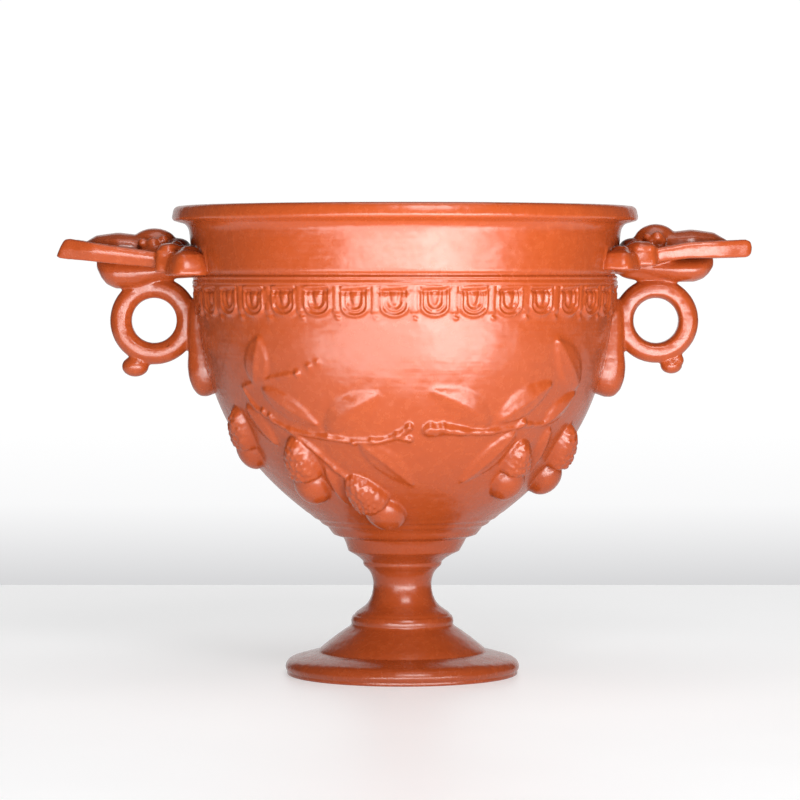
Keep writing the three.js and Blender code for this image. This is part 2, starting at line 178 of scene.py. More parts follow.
def resample(points, count):
    """Points at even steps along a polyline."""
    steps = np.linalg.norm(np.diff(points, axis=0), axis=1)
    keep = np.concatenate([[True], steps > 1e-9])
    points = points[keep]
    along = np.concatenate([[0], np.cumsum(np.linalg.norm(np.diff(points, axis=0), axis=1))])
    places = np.linspace(0, along[-1], count)
    return np.stack([np.interp(places, along, points[:, axis]) for axis in range(points.shape[1])], 1)


def spline(points, count):
    """Smooth curve through points (Catmull-Rom), resampled evenly."""
    points = np.array(points, float)
    padded = np.vstack([2 * points[0] - points[1], points, 2 * points[-1] - points[-2]])
    t = np.linspace(0, 1, 12, endpoint=False)[:, None]
    pieces = []
    for a, b, c, d in zip(padded, padded[1:], padded[2:], padded[3:]):
        pieces.append(0.5 * (2 * b + (c - a) * t + (2 * a - 5 * b + 4 * c - d) * t ** 2
                             + (3 * b - a - 3 * c + d) * t ** 3))
    pieces.append(points[-1:])
    return resample(np.vstack(pieces), count)


def soften(points, width, step=0.1):
    """Round the corners of a finely drawn outline. Its two ends stay in place."""
    length = np.linalg.norm(np.diff(points, axis=0), axis=1).sum()
    even = resample(points, int(length / step) + 1)
    reach = int(3 * width / step)
    weights = np.exp(-0.5 * (np.arange(-reach, reach + 1) * step / width) ** 2)
    weights /= weights.sum()
    before = 2 * even[0] - even[reach:0:-1]
    after = 2 * even[-1] - even[-2:-reach - 2:-1]
    padded = np.vstack([before, even, after])
    rounded = [np.convolve(padded[:, axis], weights, "valid") for axis in range(2)]
    return np.stack(rounded, 1)


def turned_rows(points, longest=3.2, turn_per_row=0.3):
    """Rows of a turned form, close together where its outline turns."""
    steps = np.diff(points, axis=0)
    lengths = np.linalg.norm(steps, axis=1)
    heading = np.unwrap(np.arctan2(steps[:, 1], steps[:, 0]))
    turning = np.abs(np.diff(heading, prepend=heading[0]))
    load = np.concatenate([[0], np.cumsum(lengths / longest + turning / turn_per_row)])
    count = int(math.ceil(load[-1])) + 1
    wanted = np.linspace(0, load[-1], count)
    return np.stack([np.interp(wanted, load, points[:, axis]) for axis in range(2)], 1)


# Outlines of the turned form, as radius and height

def foot_outline():
    """From the middle of the underside to the bowl."""
    standing = FOOT_RADIUS - STANDING_RING_WIDTH
    under_z = COLLAR_Z - FOOT_WALL
    rim = FOOT_RADIUS - 0.3
    stem_middle = 0.5 * (STEM_Z + BEAD_Z) + 1.2
    step_edge = LOWER_STEP_RADIUS + 1.2
    return soften(chain(
        (0, under_z),
        [(12, under_z), (SHOULDER_RADIUS, CONE_BASE_Z - FOOT_WALL)],
        [(standing - 0.6, 2.4), (standing + 0.2, 0)],
        [(rim - 0.5, 0)],
        [(rim - 0.15, 0.1), (rim - 0.25, 0.7)],
        [(rim - 0.4, 0.95)],
        [(rim, 1.1), (rim + 0.15, 1.9)],
        [(rim + 0.1, CONE_BASE_Z - 2.1), (rim - 3.2, CONE_BASE_Z - 1.6)],
        [(SHOULDER_RADIUS + 2.7, CONE_BASE_Z - 0.7), (SHOULDER_RADIUS, CONE_BASE_Z - 0.5)],
        [(SHOULDER_RADIUS - 0.4, CONE_BASE_Z + 0.2)],
        [(SHOULDER_RADIUS - 5, COLLAR_Z - 2.5), (COLLAR_RADIUS + 0.4, COLLAR_Z - 0.6)],
        [(COLLAR_RADIUS - 0.1, COLLAR_Z)],
        [(COLLAR_RADIUS + 0.25, COLLAR_Z + 1.1), (COLLAR_RADIUS - 0.35, COLLAR_Z + 2.2)],
        [(COLLAR_RADIUS - 0.8, COLLAR_Z + 2.4)],
        [(COLLAR_RADIUS - 0.9, STEM_Z - 0.1)],
        [(COLLAR_RADIUS - 1.4, STEM_Z + 0.5), (COLLAR_RADIUS - 2.4, STEM_Z + 1.1)],
        [(STEM_RADIUS + 0.2, STEM_Z + 2.8), (STEM_RADIUS, stem_middle)],
        [(STEM_RADIUS + 0.1, BEAD_Z - 1.9), (BEAD_RADIUS - 0.5, BEAD_Z - 0.5)],
        [(BEAD_RADIUS + 0.4, BEAD_Z + 0.1), (BEAD_RADIUS + 0.1, BEAD_Z + 0.9)],
        [(BEAD_RADIUS + 1.4, LOWER_STEP_Z + 0.5), (LOWER_STEP_RADIUS, LOWER_STEP_Z + 1.8)],
        [(step_edge, UPPER_STEP_Z - 0.3)],
        [(step_edge + 0.4, UPPER_STEP_Z + 0.4)],
        [(UPPER_STEP_RADIUS - 1.2, UPPER_STEP_Z + 1.1)],
        [(UPPER_STEP_RADIUS - 0.3, BOWL_Z - 1.2), (UPPER_STEP_RADIUS + 0.1, BOWL_Z - 0.4)],
        [(UPPER_STEP_RADIUS + 0.4, BOWL_Z)],
    ), FOOT_ROUNDING)


def bowl_outline():
    """The bowl's outer curve, at even steps from the upper step ring to the band."""
    start = np.array((UPPER_STEP_RADIUS + 0.4, BOWL_Z))
    low = np.array((UPPER_STEP_RADIUS + 0.4 + 0.45 * BOWL_RADIUS, BOWL_Z + 0.26 * BOWL_HEIGHT))
    high = np.array((0.975 * BOWL_RADIUS, BOWL_Z + 0.56 * BOWL_HEIGHT))
    end = np.array((BOWL_RADIUS, BAND_Z + 0.6))
    t = np.linspace(0, 1, 2000)[:, None]
    curve = start * (1 - t) ** 3 + low * 3 * t * (1 - t) ** 2 + high * 3 * t * t * (1 - t) + end * t ** 3
    return resample(curve, RELIEF_ROWS + 1)


def upper_outline():
    """From the top of the frieze over band, neck and lip to the inside of the mouth."""
    neck_foot = BOWL_RADIUS + 0.55
    inner_neck = NECK_RADIUS - BOWL_WALL
    return soften(chain(
        (BOWL_RADIUS, BAND_Z + 0.6),
        [(BOWL_RADIUS + 0.7, BAND_Z + 0.9)],
        [(BOWL_RADIUS + 0.95, BAND_Z + 1.6), (BOWL_RADIUS + 0.55, BAND_Z + 1.9)],
        [(BOWL_RADIUS + 0.3, BAND_Z + 2.2), (BOWL_RADIUS + 0.75, BAND_Z + 2.5)],
        [(BOWL_RADIUS + 0.9, BAND_Z + 3.0), (BOWL_RADIUS + 0.1, BAND_Z + 3.1)],
        [(BOWL_RADIUS + 0.05, NECK_Z + 0.1)],
        [(neck_foot, NECK_Z + 0.6)],
        [(neck_foot + 0.3, NECK_Z + 4), (NECK_RADIUS, LIP_Z - 2.4)],
        [(NECK_RADIUS + 0.2, LIP_Z - 0.8), (NECK_RADIUS + 1.3, LIP_Z)],
        [(LIP_RADIUS - 1.0, LIP_Z + 0.6)],
        [(LIP_RADIUS + 0.1, LIP_Z + 0.8), (LIP_RADIUS, LIP_Z + 1.8)],
        [(LIP_RADIUS - 0.25, LIP_Z + 3.1)],
        [(LIP_RADIUS - 0.5, TOP_Z), (LIP_RADIUS - 1.9, TOP_Z)],
        [(LIP_RADIUS - 2.8, TOP_Z), (LIP_RADIUS - 3.4, TOP_Z - 0.9)],
        [(inner_neck + 1.2, LIP_Z + 1.6), (inner_neck, LIP_Z - 1.4)],
    ), LIP_ROUNDING)


def inner_outline(bowl):
    """From the inside of the mouth down to the middle of the bowl's floor."""
    steps = np.gradient(bowl, axis=0)
    steps /= np.linalg.norm(steps, axis=1)[:, None]
    inside = bowl + BOWL_WALL * np.stack([-steps[:, 1], steps[:, 0]], 1)
    floor_z = UPPER_STEP_Z + BOWL_FLOOR
    inside = inside[(inside[:, 1] > floor_z + 3) & (inside[:, 1] < BAND_Z - 2)][::-1]
    mouth = (NECK_RADIUS - BOWL_WALL, LIP_Z - 1.4)
    return np.vstack([
        line(mouth, inside[0]),
        inside,
        bend(inside[-1], (0.55 * inside[-1][0], floor_z - 0.2), (0, floor_z)),
    ])


def wall_at(outline, z):
    """Radius of the bowl's wall at a height, and the direction in which the wall rises there."""
    rows = np.arange(len(outline))
    row = np.interp(z, outline[:, 1], rows)
    low = min(int(row), len(outline) - 2)
    step = outline[low + 1] - outline[low]
    return np.interp(row, rows, outline[:, 0]), step / np.linalg.norm(step)


# Mesh with shared rings

class Shell:
    """Points in millimetres, and faces between them. A ring is {column: point number}, in fine columns."""

    def __init__(self):
        self.points = []
        self.faces = []

    def add(self, points):
        first = len(self.points)
        self.points.extend(map(tuple, points))
        return range(first, len(self.points))

    def ring(self, radius, height, columns):
        places = np.arange(0, FINE_COLUMNS, FINE_COLUMNS // columns)
        angles = places * 2 * math.pi / FINE_COLUMNS
        points = np.stack([radius * np.sin(angles), -radius * np.cos(angles), np.full(columns, height)], 1)
        return dict(zip(places.tolist(), self.add(points)))

    def stitch(self, lower, upper):
        """Fill the strip between two rings, cutting it where both have a point."""
        shared = sorted(lower.keys() & upper.keys())
        for left, right in zip(shared, shared[1:] + [shared[0] + FINE_COLUMNS]):
            below = [lower[k % FINE_COLUMNS] for k in range(left, right + 1) if k % FINE_COLUMNS in lower]
            above = [upper[k % FINE_COLUMNS] for k in range(left, right + 1) if k % FINE_COLUMNS in upper]
            self.faces.append(below + above[::-1])

    def turned(self, rows, start=None, end=None):
        """Turn rows of radius and height. A row on the axis becomes one point."""
        last = start
        for radius, height in rows:
            if radius < 1e-6:
                (pole,) = self.add([(0, 0, height)])
                ring = None
            else:
                columns = WIDE_COLUMNS if radius > WIDE_FROM_RADIUS else NARROW_COLUMNS
                ring = self.ring(radius, height, columns)
            if last is None and ring is not None:
                self.fan(pole, ring, True)
            elif ring is None and last is not None:
                self.fan(pole, last, False)
            elif ring is not None:
                self.stitch(last, ring)
            last = ring
        if end is not None:
            self.stitch(last, end)
        return last

    def fan(self, pole, ring, growing):
        ids = list(ring.values())
        for a, b in zip(ids, ids[1:] + ids[:1]):
            self.faces.append((pole, b, a) if growing else (pole, a, b))


# Relief on the bowl

class Relief:
    """Height over the bowl's wall at every fine point of the bowl."""

    def __init__(self, outline):
        steps = np.gradient(outline, axis=0)
        steps /= np.linalg.norm(steps, axis=1)[:, None]
        angles = np.arange(FINE_COLUMNS) * 2 * math.pi / FINE_COLUMNS
        across = np.stack([np.sin(angles), -np.cos(angles), np.zeros(FINE_COLUMNS)], 1)
        up = np.array([0, 0, 1.0])
        self.outline = outline
        self.row_step = np.linalg.norm(outline[1] - outline[0])
        self.wall = outline[:, None, :1] * across[None] + outline[:, None, 1:] * up
        self.normal = steps[:, None, 1:] * across[None] - steps[:, None, :1] * up
        self.height = np.zeros(self.wall.shape[:2])

    def place(self, angle, percent):
        """Wall point and outward direction at an angle in degrees and a share of the height in percent."""
        height = BOWL_Z + percent / 100 * BOWL_HEIGHT
        radius, step = wall_at(self.outline, height)
        radians = math.radians(angle)
        across = np.array([math.sin(radians), -math.cos(radians), 0])
        return across * radius + np.array([0, 0, height]), across * step[1] - np.array([0, 0, step[0]])

    def near(self, centre, reach):
        return np.where(np.linalg.norm(self.wall - centre, axis=2) < reach)

    def raise_to(self, where, height):
        self.height[where] = np.maximum(self.height[where], height)

    def local(self, start, end, side_reach):
        """Points near a line on the wall, with share along it, mm across it, and its length."""
        (a, out_a), (b, out_b) = self.place(*start), self.place(*end)
        outward = out_a + out_b
        outward /= np.linalg.norm(outward)
        across = np.cross(b - a, outward)
        across /= np.linalg.norm(across)
        along = np.cross(outward, across)
        length = float(np.dot(b - a, along))
        where = self.near(0.5 * (a + b), 0.5 * length + side_reach)
        offset = self.wall[where] - a
        return where, offset @ along / length, offset @ across, length

    def leaf(self, start, end, width, curve=0.0, fold=0.6, plate=0.45, rim=0.15, rib=0.3, tilt=0.0,
             shoulder=0.8):
        """Leaf with a roof-like fold, a rib, faint veins and a rim. Tilt raises one of its long sides."""
        where, share, side, length = self.local(start, end, width)
        inside = (share > 0) & (share < 1)
        share = np.clip(share, 0, 1)
        side = side - curve * 4 * share * (1 - share)
        off_rib = np.abs(side)
        half = 0.5 * width * np.sin(np.pi * share ** 0.85) ** 0.75 + 1e-6
        edge = half - off_rib
        shape = plate + 2 * fold * np.clip(edge, 0, None) / width + tilt * side / half
        shape = shape + rim * hump(edge - 0.45, 0.4) + rib * hump(side, 0.35)
        veins = np.sin((share * length - 0.9 * off_rib) * 2 * np.pi / VEIN_SPACING)
        shape += VEIN_HEIGHT * veins * smooth_step(0.4, 1.2, edge) * smooth_step(0.3, 0.8, off_rib)
        ends = smooth_step(0, 0.1, share) * smooth_step(0, 0.05, 1 - share)
        shape = shape * smooth_step(-0.25, shoulder, edge) * (0.4 + 0.6 * ends)
        self.raise_to(where, np.where(inside, shape, 0))

    def twig(self, route, radius, end_radius):
        """Uneven round stalk along a route, from one radius to the other."""
        path = spline([self.place(*stop)[0] for stop in route], 160)
        middle = path.mean(0)
        reach = np.linalg.norm(path - middle, axis=1).max() + 3
        where = self.near(middle, reach)
        points = self.wall[where]
        gap = np.full(len(points), OUT_OF_REACH)
        share = np.zeros(len(points))
        phase = random.uniform(0, 6, 3)
        for number, spot in enumerate(path):
            distance = np.linalg.norm(points - spot, axis=1)
            closer = distance < gap
            gap[closer] = distance[closer]
            share[closer] = number / (len(path) - 1)
        wave = np.sin(share * 17 + phase[0]) + 0.7 * np.sin(share * 41 + phase[1])
        size = TWIG_SWELL * ((radius + (end_radius - radius) * share) * (1 + TWIG_LUMPS * wave))
        self.raise_to(where, size * np.clip(1 - (gap / size) ** 2, 0, 1))

    def knob(self, place, radius, height):
        """Round bud or knot."""
        centre = self.place(*place)[0]
        where = self.near(centre, radius)
        distance = np.linalg.norm(self.wall[where] - centre, axis=1) / radius
        self.raise_to(where, height * np.sqrt(np.clip(1 - distance ** 2, 0, 1)))

    def acorn(self, start, end, radius, cup_share=0.5, depth=0.85, nut_size=1.0):
        """A scaly cup that widens from the stalk, and a plump smooth nut that comes out of it."""
        where, share, side, length = self.local(start, end, 2 * radius)
        cup_stops = [0, 0.05, 0.16, 0.32, cup_share - 0.06, cup_share, cup_share + 0.03]
        cup_half = np.interp(share, cup_stops, [0.25, 0.5, 0.8, 0.98, 1.04, 1.0, 0.85]) * radius + 1e-6
        in_cup = (share > 0) & (share < cup_share + 0.03)
        cup = depth * cup_half * np.sqrt(np.clip(1 - (side / cup_half) ** 2, 0, 1))
        scales = self.scales(share * length, side, length, radius)
        cup += scales * smooth_step(0, 0.3, 1 - np.abs(side) / cup_half)
        cup = np.where(in_cup & (np.abs(side) < cup_half), cup, 0)
        nut_radius = radius * nut_size
        nut_middle = length - nut_radius * 1.15
        along = (share * length - nut_middle) / (1.25 * nut_radius)
        rounding = np.clip(1 - along ** 2 - (side / nut_radius) ** 2, 0, 1)
        nut = nut_radius * (depth + 0.05) * np.sqrt(rounding)
        self.raise_to(where, np.maximum(cup, nut))

    def scales(self, along, side, length, radius):
        """Uneven overlapping scales, as the height round scattered middles."""
        rows = int(length / SCALE_SPACING) + 1
        columns = int(2 * radius / SCALE_SPACING) + 3
        best = np.full(len(along), OUT_OF_REACH)
        for row in range(rows):
            for column in range(columns):
                middle_along = (row + random.uniform(-0.3, 0.3)) * SCALE_SPACING
                shift = 0.5 * (row % 2) + random.uniform(-0.25, 0.25)
                middle_side = (column - 0.5 * columns + shift) * SCALE_SPACING
                distance = np.hypot(along - middle_along, side - middle_side)
                best = np.minimum(best, distance)
        return SCALE_HEIGHT * (1 - np.clip(best / SCALE_RADIUS, 0, 1) ** 1.5) - 0.2

    def egg_frieze(self):
        """Eggs in double borders, with a tongue between each two."""
        rows = int(FRIEZE_HEIGHT / self.row_step)
        down = (np.arange(rows) * self.row_step)[::-1][:, None]
        angles = np.arange(FINE_COLUMNS) * 360 / FINE_COLUMNS
        pitch = 360 / EGG_COUNT
        frieze = np.zeros((rows, FINE_COLUMNS))
        for number in range(EGG_COUNT):
            offset = (angles - FIRST_EGG_ANGLE - number * pitch + 180) % 360 - 180
            x = (offset * math.radians(1) * BOWL_RADIUS)[None] + random.uniform(-0.2, 0.2)
            near = np.abs(x) < 0.56 * math.radians(pitch) * BOWL_RADIUS + 0.4
            y = down + random.uniform(-0.12, 0.12)
            egg = self.egg(x, y, random.uniform(0.85, 1.1), random.uniform(0.05, 0.13))
            frieze = np.where(near, np.maximum(frieze, egg), frieze)
            top_groove = hump(y - 1.35, 0.42) * smooth_step(3.3, 2.7, np.abs(x))
            frieze -= np.where(near, random.uniform(0.45, 0.8) * top_groove, 0)
        self.height[-rows:] = np.where(frieze < 0, frieze, np.maximum(self.height[-rows:], frieze))

    def egg(self, x, y, strength, slant):
        """One egg, x across it and y down from its top, with the tongue and the curl at each side."""
        def border(half_width, straight, drop):
            below = np.clip(y - straight, 0, None) / drop
            return np.abs(np.hypot(x / half_width, below) - 1) * half_width

        outer = hump(border(**OUTER_BORDER), 0.48)
        inner = 0.75 * hump(border(**INNER_BORDER), 0.36)
        half_core = 1.5 * np.clip(1 - y / EGG_LENGTH, 0, 1) ** 0.6
        core = 0.55 * smooth_step(-0.2, 0.3, half_core - np.abs(x)) * (y < EGG_LENGTH)
        ledge_line = y - 0.75 + slant * x
        ledge = 0.8 * smooth_step(0.22, -0.12, ledge_line) * (np.abs(x) < 3.6)
        lowered = smooth_step(0.1, 0.5, ledge_line)
        tongue_x = np.abs(x) - TONGUE_X
        tongue = 0.6 * smooth_step(1.05, 0.7, np.abs(tongue_x)) * smooth_step(6.9, 6.3, y)
        curl_x = x - TONGUE_X - 0.7
        ring = np.abs(np.hypot(curl_x, y - 7.3) - 0.75)
        curl = 0.55 * hump(ring, 0.32) * smooth_step(-0.3, 0.1, y - 7.0 + 0.3 * curl_x)
        shape = np.maximum.reduce([outer * lowered, inner * lowered, core * lowered, ledge, tongue, curl])
        return strength * shape


# Motifs of the relief. A place is degrees from the middle of the front and percent of the bowl's height.
# A twig is its route, first and last radius. A knob is its place, radius and height.
TWIGS = [
    ([(-1.2, 42.0), (-5.5, 39.9), (-10.6, 38.9), (-16.6, 38.9), (-24.5, 40.2), (-31.9, 41.3), (-38.6, 42.9)],
     0.85, 0.75),
    ([(-1.6, 41.8), (-0.2, 43.2), (1.0, 44.4)], 0.85, 0.75),
    ([(-3.0, 41.0), (-0.6, 40.2), (1.2, 39.8)], 0.75, 0.65),
    ([(-38.6, 42.9), (-45.7, 47.6), (-50, 51), (-52.5, 55), (-54, 59.8)], 0.75, 0.5),
    ([(-38.4, 42.6), (-34.9, 38.8), (-31.8, 35.3), (-28.4, 30.6), (-25.4, 26.6), (-21.4, 22.6)], 0.75, 0.8),
    ([(6.8, 43.6), (9.5, 44.2), (12.6, 43.9), (17.7, 43.0), (24.9, 42.5), (30.3, 43.1), (36, 44),
      (39.1, 45.1)], 1.35, 0.55),
    ([(7.4, 42.2), (10.5, 42.6), (14, 43.1)], 0.95, 0.7),
    ([(39.1, 45.1), (48, 45.2), (53, 49.5), (59, 57)], 0.65, 0.5),
]
FRONT_TWIGS = TWIGS + [
    ([(-53.5, 59.8), (-47, 62.1), (-37.4, 64.5), (-31.8, 65.7)], 0.5, 0.45),
]
LEAVES = [
    dict(start=(-15, 38.6), end=(3.8, 20.4), width=6.8, curve=-0.9, fold=0.5, plate=0.3, rim=0.2, rib=0.35),
    dict(start=(-25.6, 42.3), end=(-7.0, 58.7), width=7.7, curve=-1.1, fold=1.05, plate=0.2, rim=0, rib=0,
         shoulder=0.6),
    dict(start=(-45.5, 60), end=(-27, 45), width=6.4, fold=0.45, plate=0.3, rim=0.2),
    dict(start=(-48, 61), end=(-43, 81), width=8.4, fold=0.5, plate=0.35, rim=0.2),
    dict(start=(27.2, 44.8), end=(6.6, 59.9), width=7.8, curve=1.4, fold=1.05, plate=0.2, rim=0, rib=0.1,
         shoulder=0.6),
    dict(start=(29, 47), end=(46.5, 62), width=7.6, curve=-0.6, fold=0.6, plate=0.5, tilt=0.25),
    dict(start=(37, 42.6), end=(21.6, 21.5), width=6.6, fold=0.6, rim=0.3),
    dict(start=(60, 59), end=(45, 80), width=8.2, fold=0.5, rim=0.2),
]
FRONT_LEAVES = LEAVES + [
    dict(start=(-30, 28.5), end=(-28.5, 11.5), width=3.6, fold=0.8, rim=0, rib=0),
    dict(start=(-55, 53), end=(-47, 36), width=5.4, fold=0.5),
    dict(start=(52, 44), end=(55, 24), width=4.6, fold=0.6),
    dict(start=(48, 45), end=(59, 58), width=5.6, fold=0.6),
]
KNOBS = [
    ((1.2, 44.9), 1.05, 1.3), ((1.4, 39.9), 0.95, 1.05), ((-2.4, 41.6), 1.15, 1.4),
    ((-10.6, 39.4), 0.9, 1.1), ((-16.8, 38.6), 0.9, 1.2), ((-25, 40.6), 0.95, 1.2),
    ((7.6, 44.8), 1.2, 1.6), ((11.4, 44.6), 1.3, 1.7), ((7.2, 42.4), 1.0, 1.2), ((16, 43.8), 0.9, 1.2),
    ((-31.4, 66), 0.85, 0.9), ((-27.5, 69), 0.75, 0.6), ((-24.7, 70.6), 0.7, 0.5),
    ((-47.5, 50.2), 0.9, 1.0), ((-45, 48.6), 0.8, 0.9), ((38.7, 45.8), 1.2, 1.2),
]
FRONT_ACORNS = [
    dict(start=(-21.4, 24.6), end=(-4.0, 4.6), radius=4.8, cup_share=0.52),
    dict(start=(-38, 40), end=(-43, 14), radius=4.8, cup_share=0.52, nut_size=0.98),
    dict(start=(-62, 51), end=(-72, 27), radius=4.3, cup_share=0.55, depth=0.8),
    dict(start=(41.6, 38.5), end=(47.4, 15.4), radius=4.2, cup_share=0.46, nut_size=1.08),
    dict(start=(65, 43.5), end=(79, 17), radius=4.4, cup_share=0.48, nut_size=1.04, depth=0.95),
]
BACK_ACORNS = FRONT_ACORNS[:4] + [
    dict(start=(60, 43.5), end=(66, 19), radius=4.0, cup_share=0.48, nut_size=1.04, depth=0.8),
]
FRONT_AND_BACK = (
    (0, FRONT_TWIGS, FRONT_LEAVES, FRONT_ACORNS),
    (180, TWIGS, LEAVES, BACK_ACORNS),
)


def on_half(half, place):
    return half + place[0], place[1]


def motif_on_half(half, motif):
    return {**motif, "start": on_half(half, motif["start"]), "end": on_half(half, motif["end"])}


def carve(relief):
    """All the relief: a branch to each side of the middle, on the front and on the back."""
    for half, twigs, leaves, _ in FRONT_AND_BACK:
        for route, radius, end_radius in twigs:
            relief.twig([on_half(half, stop) for stop in route], radius, end_radius)
        for leaf in leaves:
            relief.leaf(**motif_on_half(half, leaf))
        for place, radius, height in KNOBS:
            relief.knob(on_half(half, place), radius, height)
    relief.height = soften_relief(relief.height)
    for half, _, _, acorns in FRONT_AND_BACK:
        for acorn in acorns:
            relief.acorn(**motif_on_half(half, acorn))
    relief.egg_frieze()


def quiet_steps(relief):
    """Shallow turned lines on the plain lower wall."""
    along = np.arange(RELIEF_ROWS + 1) * relief.row_step
    for place, depth in ((1.6, 0.2), (4.2, 0.12), (7.0, 0.05)):
        ripple = depth * hump(along - place, 0.7) - 0.6 * depth * hump(along - place - 1.2, 0.7)
        relief.height += ripple[:, None]


def soften_relief(height):
    """Round the relief a little, as a coat of slip does."""
    across = 0.25 * (np.roll(height, 1, 1) + np.roll(height, -1, 1)) + 0.5 * height
    inner = 0.25 * (across[:-2] + across[2:]) + 0.5 * across[1:-1]
    return np.vstack([across[:1], inner, across[-1:]])


def relief_mesh(shell, relief):
    """Add the bowl's outside in blocks that are large where it is smooth. Returns its two end rings."""
    surface = relief.wall + relief.normal * relief.height[:, :, None]
    wrapped = np.concatenate([surface, surface[:, :1]], 1)
    open_cells = np.ones((RELIEF_ROWS, FINE_COLUMNS), bool)
    blocks = []
    for size in BLOCK_SIZES:
        rows = np.arange(0, RELIEF_ROWS, size)
        columns = np.arange(0, FINE_COLUMNS, size)
        worst = np.zeros((len(rows), len(columns)))
        corner = [[wrapped[np.ix_(rows + a * size, columns + b * size)] for b in (0, 1)] for a in (0, 1)]
        for a in range(size + 1):
            for b in range(size + 1):
                up, right = a / size, b / size
                flat = ((1 - up) * ((1 - right) * corner[0][0] + right * corner[0][1])
                        + up * ((1 - right) * corner[1][0] + right * corner[1][1]))
                gap = np.linalg.norm(wrapped[np.ix_(rows + a, columns + b)] - flat, axis=2)
                worst = np.maximum(worst, gap)
        free = open_cells[np.ix_(rows, columns)]
        at_back = np.abs(columns / FINE_COLUMNS - 0.5) < BACK_SHARE
        allowed = np.where(at_back, BACK_FLATNESS, FLATNESS)[None]
        for row, column in zip(*np.where((worst < allowed) & free)):
            blocks.append((row * size, column * size, size))
            open_cells[row * size:(row + 1) * size, column * size:(column + 1) * size] = False
    blocks += [(row, column, 1) for row, column in zip(*np.where(open_cells))]

    used = np.zeros(surface.shape[:2], bool)
    for row, column, size in blocks:
        right = (column + size) % FINE_COLUMNS
        used[row, column] = used[row, right] = used[row + size, column] = used[row + size, right] = True
    number = np.full(used.shape, -1)
    number[used] = shell.add(surface[used])
    for row, column, size in blocks:
        top, right = row + size, column + size
        edge = [(row, k % FINE_COLUMNS) for k in range(column, right)]
        edge += [(k, right % FINE_COLUMNS) for k in range(row, top)]
        edge += [(top, k % FINE_COLUMNS) for k in range(right, column, -1)]
        edge += [(k, column) for k in range(top, row, -1)]
        shell.faces.append([number[place] for place in edge if used[place]])
    return [{int(k): int(number[row, k]) for k in np.where(used[row])[0]} for row in (0, RELIEF_ROWS)]


def cup_shell():
    """Outside, lip, inside and underside of the cup as one closed mesh."""
    shell = Shell()
    relief = Relief(bowl_outline())
    carve(relief)
    quiet_steps(relief)
    relief.height = soften_relief(relief.height)
    low_ring, high_ring = relief_mesh(shell, relief)
    shell.turned(turned_rows(foot_outline())[:-1], end=low_ring)
    mouth = shell.turned(turned_rows(upper_outline())[1:], start=high_ring)
    shell.turned(turned_rows(inner_outline(relief.outline))[1:], start=mouth)
    shell.points = np.array(shell.points)
    foot_share = smooth_step(LOWER_STEP_Z + 5, LOWER_STEP_Z - 2, shell.points[:, 2])
    shell.points[:, 0] += FOOT_OFFSET * foot_share
    return shell


# Handles

def loft(sections):
    """Closed mesh through sections of equal count, with flat ends."""
    sections = np.array(sections)
    stations, sides = sections.shape[:2]
    points = sections.reshape(-1, 3)
    faces = []
    for station in range(stations - 1):
        for side in range(sides):
            after = (side + 1) % sides
            low, high = station * sides, (station + 1) * sides
            faces.append((low + side, low + after, high + after, high + side))
    faces.append(tuple(range(sides))[::-1])
    faces.append(tuple(range((stations - 1) * sides, stations * sides)))
    return points, faces


def placed(body, centre, turn):
    """The body turned about the upright and moved to its centre."""
    points, faces = body
    cos, sin = math.cos(turn), math.sin(turn)
    matrix = np.array([[cos, -sin, 0], [sin, cos, 0], [0, 0, 1]])
    return points @ matrix.T + np.array(centre), faces


def lump(centre, half, turn=0.0):
    """A rounded lump with its own half sizes."""
    sections = []
    for share in np.linspace(0.02, 0.98, LUMP_STATIONS):
        polar = share * math.pi
        oval = superoval(half[0] * math.sin(polar), half[1] * math.sin(polar), LUMP_SIDES)
        sections.append(np.column_stack([oval, np.full(LUMP_SIDES, -half[2] * math.cos(polar))]))
    return placed(loft(sections), centre, turn)


def wedge(centre, half, turn=0.0, top_share=0.5):
    """A boxy lump with a flat underside, narrower towards its rounded top."""
    heights = (-1, -0.9, -0.4, 0.2, 0.6, 0.85, 1.0)
    scales = (0.92, 1.0, 0.97, 0.86, 0.5 + 0.5 * top_share, 0.25 + 0.5 * top_share, 0.5 * top_share)
    sections = []
    for height, scale in zip(heights, scales):
        oval = superoval(half[0] * scale, half[1] * scale, 28, 0.6)
        sections.append(np.column_stack([oval, np.full(len(oval), half[2] * height)]))
    return placed(loft(sections), centre, turn)


def superoval(half_width, half_height, sides=20, power=1.0):
    angles = full_turn(sides)
    across = signed_power(np.cos(angles), power) * half_width
    rise = signed_power(np.sin(angles), power) * half_height
    return np.stack([across, rise], 1)


def closed_section(corners, count):
    """Points at even steps round a closed section."""
    corners = np.array(corners)
    return resample(np.vstack([corners, corners[:1]]), count + 1)[:-1]


def finger_ring(form):
    """Ring in the XZ plane: rounded outer band, flat faces and a chamfered hole."""
    half = RING_THICKNESS / 2
    outer, hole = form["ring_radius"], RING_HOLE_RADIUS
    flat_from, flat_to = form["flat"]
    corners = [(hole, -0.5), (hole + 0.15, -1.5), (flat_from - 0.15, -half + 0.25), (flat_from, -half),
               (flat_to, -half), (flat_to + 0.2, -half + 0.3), (outer - 0.5, -1.9), (outer, -0.7)]
    mirrored = [(radius, -side) for radius, side in corners[::-1]]
    section = closed_section(corners + mirrored, 59)
    angles = full_turn(96)
    points = np.vstack([np.stack([RING_CENTRE_X + section[:, 0] * math.cos(angle), section[:, 1],
                                  RING_CENTRE_Z + section[:, 0] * math.sin(angle)], 1) for angle in angles])
    count = len(section)
    faces = []
    for station in range(len(angles)):
        after_station = (station + 1) % len(angles)
        for side in range(count):
            after = (side + 1) % count
            faces.append((station * count + side, after_station * count + side,
                          after_station * count + after, station * count + after))
    return points, faces


